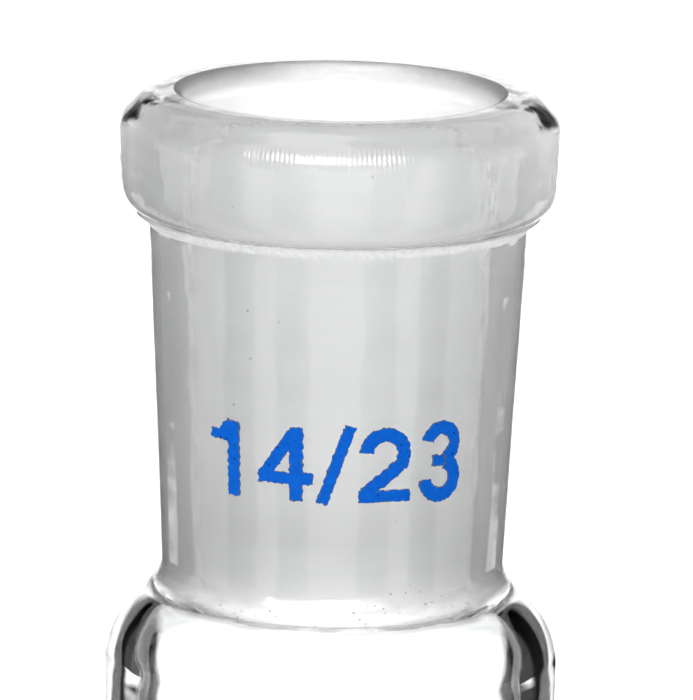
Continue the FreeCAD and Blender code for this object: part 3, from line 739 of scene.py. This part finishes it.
def thimble():
    centre = THIMBLE_FOOT_Z + THIMBLE_R
    bore = THIMBLE_R - THIMBLE_WALL
    line = Outline(0, THIMBLE_FOOT_Z, pitch=0.5)
    line.arc(0, centre, THIMBLE_R, -90, 0).to(THIMBLE_R, THIMBLE_TOP_Z - 0.4)
    line.corner(THIMBLE_R, THIMBLE_TOP_Z, bore, THIMBLE_TOP_Z, 0.35)
    line.corner(bore, THIMBLE_TOP_Z, bore, centre, 0.35)
    line.to(bore, centre).arc(0, centre, bore, 0, -90)
    felt = ripple(11, [(2, 90, 0.05), (5, 31, 0.03), (11, 13, 0.015), (23, 6, 0.008)])

    def shape(r, angle, z):
        rim = np.clip((z - THIMBLE_TOP_Z + 2) / 2, 0, 1)
        return r - 0.06 + felt(angle, z) * 0.6, z - rim * (0.1 + 1.5 * felt(angle, z * 0))

    obj = lathe("paper_thimble", line, [PAPER], PLAIN_SEGMENTS, shape)
    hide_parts("thimble")
    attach(obj, "thimble")
    return obj


# ------------------------------------------------------------------ enamel joint size
def bar(x, y, start, end, width):
    """Distance to a straight stroke with square ends."""
    along = np.subtract(end, start)
    length = math.hypot(*along)
    ux, uy = along / length
    t = (x - start[0]) * ux + (y - start[1]) * uy
    side = np.abs((x - start[0]) * uy - (y - start[1]) * ux)
    return np.maximum(side - width / 2, np.maximum(-t, t - length))


def bow(x, y, centre, radius, width, start_deg, end_deg):
    """Distance to a stroke along an arc, anticlockwise from start to end, with square ends."""
    dx, dy = x - centre[0], y - centre[1]
    reach = np.hypot(dx, dy)
    middle, half = math.radians((start_deg + end_deg) / 2), math.radians((end_deg - start_deg) / 2)
    off = np.abs((np.arctan2(dy, dx) - middle + math.pi) % (2 * math.pi) - math.pi) - half
    return np.maximum(np.abs(reach - radius) - width / 2, off * reach)


def figure(mark, x, y):
    """Distance to a plain bold figure whose left edge and foot are at 0."""
    if mark == "1":
        parts = [bar(x, y, (1.27, 0), (1.27, FIGURE_HEIGHT), PEN),
                 bar(x, y, (0.0, 2.80), (1.1, 2.72), 0.42), bar(x, y, (0.55, 2.78), (1.12, 3.36), 0.5)]
    elif mark == "4":
        parts = [bar(x, y, (1.80, 0), (1.80, FIGURE_HEIGHT), PEN),
                 bar(x, y, (0.0, 1.06), (2.57, 1.06), 0.52), bar(x, y, (0.18, 1.0), (1.72, 3.28), 0.56)]
    elif mark == "/":
        parts = [bar(x, y, (0.28, -0.08), (1.56, 3.58), 0.52)]
    elif mark == "2":
        parts = [bow(x, y, (1.22, 2.26), 0.90, PEN, -38, 176),
                 bar(x, y, (0.30, 0.42), (1.95, 1.72), 0.60), bar(x, y, (0.0, 0.27), (2.45, 0.27), 0.54)]
    else:
        parts = [bow(x, y, (1.24, 2.56), 0.74, PEN, -70, 168),
                 bow(x, y, (1.24, 0.94), 0.80, 0.66, -176, 70), bar(x, y, (0.78, 1.78), (1.45, 1.78), 0.50)]
    return np.minimum.reduce(parts)


def joint_size(name, body, rim, middle_drop):
    """The joint size in plain figures: thin fired enamel round the socket's taper, with rough edges."""
    starts = {"1": -6.09, "4": -3.53, "/": -0.82, "2": 1.16, "3": 3.94}
    pitch, layers, thickness = 0.045, 6, 0.07
    x = np.arange(-6.6, 6.9, pitch)[:, None]
    y = np.arange(-0.5, FIGURE_HEIGHT + 0.5, pitch)[None, :]
    ragged = 0.0
    random = np.random.default_rng(5)
    for wave in np.linspace(0.09, 0.55, 26):
        turn, phase = random.uniform(0, 2 * math.pi, 2)
        along = x * math.cos(turn) + y * math.sin(turn)
        ragged = ragged + 0.006 * np.cos(2 * math.pi * along / wave + phase)
    flat = np.minimum.reduce([figure(mark, x - start, y) for mark, start in starts.items()]) - 0.02 + ragged
    height = (np.arange(layers + 4) - 2) * thickness / layers
    field = np.maximum(flat[:, :, None], (np.abs(height - thickness / 2) - thickness / 2)[None, None, :])
    grid = openvdb.FloatGrid(1.0)
    grid.copyFromArray(np.clip(field, -1, 1).astype(np.float32))
    points, quads = grid.convertToQuads(0.0)
    px, py = x[0, 0] + points[:, 0] * pitch, y[0, 0] + points[:, 1] * pitch
    lift = height[0] + points[:, 2] * thickness / layers
    z = rim - middle_drop + py - FIGURE_HEIGHT / 2
    r = socket_outer_r(rim - z) + 0.01 + lift
    angle = px / socket_outer_r(middle_drop) - math.pi / 2
    near_edge = flat[np.clip(points[:, 0].round().astype(int), 0, flat.shape[0] - 1),
                     np.clip(points[:, 1].round().astype(int), 0, flat.shape[1] - 1)]
    slots = (near_edge[quads].mean(1) > -0.035).astype(int)
    obj = new_object(name, np.stack([r * np.cos(angle), r * np.sin(angle), z], 1), quads.tolist(),
                     [ENAMEL, EDGE], slots)
    bm = bmesh.new()
    bm.from_mesh(obj.data)
    bmesh.ops.recalc_face_normals(bm, faces=bm.faces[:])
    bm.to_mesh(obj.data)
    bm.free()
    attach(obj, body)
    return obj


# ------------------------------------------------------------------ studio
def floor():
    """A pale floor, lit evenly round the object, that also glows as painted light: faintly near the object,
    more strongly towards the backdrop further out.
    """
    p = Paint("floor", Roughness=0.9, Specular_IOR_Level=0.1, Base_Color=(0.92, 0.92, 0.92, 1))
    reach = p.nodes.new("ShaderNodeVectorMath")
    reach.operation = "LENGTH"
    p.link(p.place, reach.inputs[0])
    # Painted light: the floor's glow rises from 0.15 within 10 cm of the object to 0.85 from 75 cm out, so
    # the floor is darker round the object.
    p.link(p.ramp(reach.outputs["Value"], (0.10, 0.15), (0.75, 0.85)), p.shader.inputs["Emission Color"])
    p.shader.inputs["Emission Strength"].default_value = 1.0
    size = 20 / MM
    obj = new_object("floor", [(-size, -size, 0), (size, -size, 0), (size, size, 0), (-size, size, 0)],
                     [(0, 1, 2, 3)], [p.material], smooth=False)


def world():
    """A pale room, brighter behind the object than beside it and dimmer overhead, with a white backdrop."""
    made = bpy.data.worlds.new("studio")
    made.use_nodes = True
    bpy.context.scene.world = made
    nodes, links = made.node_tree.nodes, made.node_tree.links
    direction = nodes.new("ShaderNodeTexCoord").outputs["Generated"]
    split = nodes.new("ShaderNodeSeparateXYZ")
    links.new(direction, split.inputs[0])

    def levels(axis, *stops):
        ramp = nodes.new("ShaderNodeValToRGB")
        elements = ramp.color_ramp.elements
        while len(elements) < len(stops):
            elements.new(0.5)
        for element, (position, level) in zip(elements, stops):
            element.position = position
            element.color = (level, level, level, 1)
        half = nodes.new("ShaderNodeMath")
        half.operation = "MULTIPLY_ADD"
        half.inputs[1].default_value = half.inputs[2].default_value = 0.5
        links.new(split.outputs[axis], half.inputs[0])
        links.new(half.outputs[0], ramp.inputs["Fac"])
        return ramp.outputs["Color"]

    def product(a, b):
        node = nodes.new("ShaderNodeVectorMath")
        node.operation = "MULTIPLY"
        links.new(a, node.inputs[0])
        links.new(b, node.inputs[1])
        return node.outputs[0]

    room = product(levels("Z", (0.575, 1.35), (0.70, 0.50)),
                   levels("Y", (0.0, 0.6), (0.5, 0.42), (0.93, 1.0)))
    links.new(room, nodes["Background"].inputs["Color"])
    backdrop = nodes.new("ShaderNodeBackground")
    backdrop.inputs["Color"].default_value = (1, 1, 1, 1)
    backdrop.inputs["Strength"].default_value = 1.1
    seen = nodes.new("ShaderNodeLightPath").outputs["Is Camera Ray"]
    mix = nodes.new("ShaderNodeMixShader")
    links.new(seen, mix.inputs[0])
    links.new(nodes["Background"].outputs[0], mix.inputs[1])
    links.new(backdrop.outputs[0], mix.inputs[2])
    links.new(mix.outputs[0], nodes["World Output"].inputs["Surface"])


def flag(name, middle_deg, half_deg, rows):
    """A black card that fades out at its sides and that only glass sees.

    It follows arcs round the object. Each row is an arc's distance, height and cover, 1 being black."""
    p = Paint(name, Roughness=1.0, Specular_IOR_Level=0.0, Base_Color=(0.0, 0.0, 0.0, 1))
    cover = p.nodes.new("ShaderNodeAttribute")
    cover.attribute_name = "cover"
    p.link(cover.outputs["Fac"], p.shader.inputs["Alpha"])
    across = np.linspace(-1, 1, 15)
    angles = np.radians(middle_deg + half_deg * across)
    points = [(r * math.cos(a), r * math.sin(a), z) for r, z, _ in rows for a in angles]
    count = len(across)
    faces = [(i + j, i + j + 1, i + j + count + 1, i + j + count)
             for i in range(0, (len(rows) - 1) * count, count) for j in range(count - 1)]
    obj = new_object(name, points, faces, [p.material], smooth=False)
    side = np.clip((1 - np.abs(across)) / FLAG_FADE, 0, 1)
    values = np.concatenate([side * share for _, _, share in rows])
    obj.data.attributes.new("cover", "FLOAT", "POINT").data.foreach_set("value", values)
    obj.visible_camera = obj.visible_diffuse = obj.visible_shadow = False


def flags():
    """Black cards all round draw the dark lines along the glass's edges."""
    for quarter in range(4):
        for side in (27, 63):
            flag(f"flag_{quarter}_{side}", 90 * quarter + side, 12,
                 ((50, 1, 0), (110, 1, 0.5), (220, 1, 0.95), (500, 1, 1), (500, 700, 1)))
    for side in (-1, 1):
        flag(f"back_flag_{side + 1}", 90 + side * 39, 22, ((700, 10, 0), (700, 24, 0.95), (700, 700, 0.95)))


def softbox(name, place, aim, width, height, watts):
    light = bpy.data.lights.new(name, "AREA")
    light.shape, light.size, light.size_y, light.energy = "RECTANGLE", width, height, watts
    obj = bpy.data.objects.new(name, light)
    obj.location = place
    obj.rotation_mode = "QUATERNION"
    obj.rotation_quaternion = (Vector(aim) - Vector(place)).to_track_quat("-Z", "Y")
    obj.visible_camera = obj.visible_diffuse = False
    bpy.context.scene.collection.objects.link(obj)


def sun():
    """A broad overhead lamp, even over the whole floor, for soft shadows."""
    light = bpy.data.lights.new("overhead", "SUN")
    light.energy, light.angle = 1.5, math.radians(50)
    obj = bpy.data.objects.new("overhead", light)
    obj.rotation_euler = (math.radians(22), math.radians(-16), 0)
    bpy.context.scene.collection.objects.link(obj)


def camera():
    """Close, slightly from above, through a long lens, with the object leaning a little to the right."""
    elevation, lean = math.radians(11.4), math.radians(1.07)
    distance, frame_height = 0.7, 0.0322              # metres
    aim_right, aim_down = 0.000253, 0.011937          # from the rim's middle to the picture's middle
    data = bpy.data.cameras.new("camera")
    data.sensor_width = 36.0
    data.lens = data.sensor_width * distance / frame_height
    data.clip_start, data.clip_end = 0.01, 50
    back = Vector((0, -math.cos(elevation), math.sin(elevation)))
    right, up = Vector((1, 0, 0)), Vector((0, math.sin(elevation), math.cos(elevation)))
    right, up = right * math.cos(lean) + up * math.sin(lean), up * math.cos(lean) - right * math.sin(lean)
    crest = Vector((0, 0, TOP_RIM_Z * MM))
    target = crest + right * aim_right - up * aim_down
    obj = bpy.data.objects.new("camera", data)
    obj.location = target + back * distance
    obj.rotation_mode = "QUATERNION"
    obj.rotation_quaternion = Matrix((right, up, back)).transposed().to_quaternion()
    bpy.context.scene.collection.objects.link(obj)
    bpy.context.scene.camera = obj


# ------------------------------------------------------------------ the whole scene
extractor_top()
extractor_body()
flask()
sleeve()
thimble()
joint_size("extractor_joint_size", "extractor", TOP_RIM_Z, middle_drop=15.9)
joint_size("flask_joint_size", "flask", FLASK_RIM_Z, middle_drop=14.0)
floor()
world()
flags()
softbox("front_box", place=(-0.06, -0.56, 0.50), aim=(0, 0, 0.2), width=0.95, height=0.36, watts=20)
sun()
camera()
bpy.context.scene.view_settings.view_transform = "Standard"
